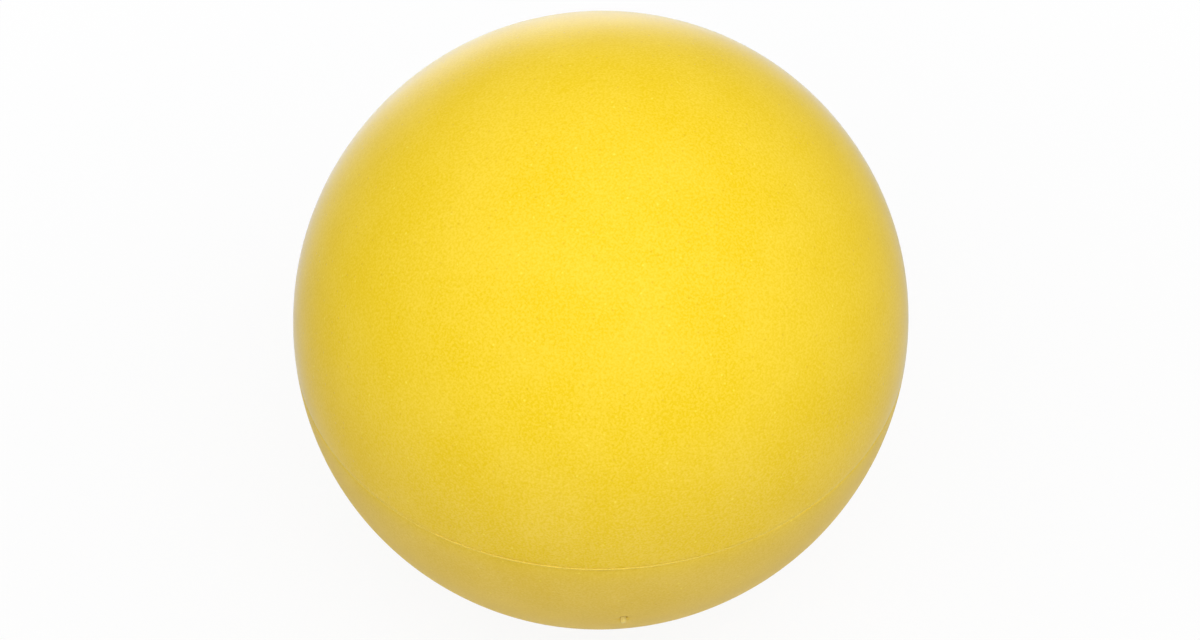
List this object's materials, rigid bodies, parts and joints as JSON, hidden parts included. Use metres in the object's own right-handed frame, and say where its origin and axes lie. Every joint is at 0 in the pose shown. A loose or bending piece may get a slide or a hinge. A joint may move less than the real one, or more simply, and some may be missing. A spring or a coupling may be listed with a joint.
{
  "type": "dodgeball",
  "caption": "Round foam dodgeball: soft foam core in a matte yellow moulded skin, with a fine trimmed seam ridge round it and a plugged vent.",
  "frame": {"origin": "centre of the ball", "axes": "+Z along the mould axis, square to the seam, so that the seam lies in the XY plane with the vented half below it; -Y is the front, beside the vent; +X is to the right seen from the front"},
  "size_m": [0.1786, 0.1786, 0.178],
  "materials": {
    "core_foam": "matte",
    "upper_skin": "matte",
    "lower_skin": "matte",
    "seam_bead": "matte",
    "vent_plug": "matte"
  },
  "bodies": {
    "root": {"foam_core": "core_foam", "upper_skin": "upper_skin", "lower_skin": "lower_skin", "seam_bead": "seam_bead", "vent_plug": "vent_plug"}
  },
  "joints": []
}
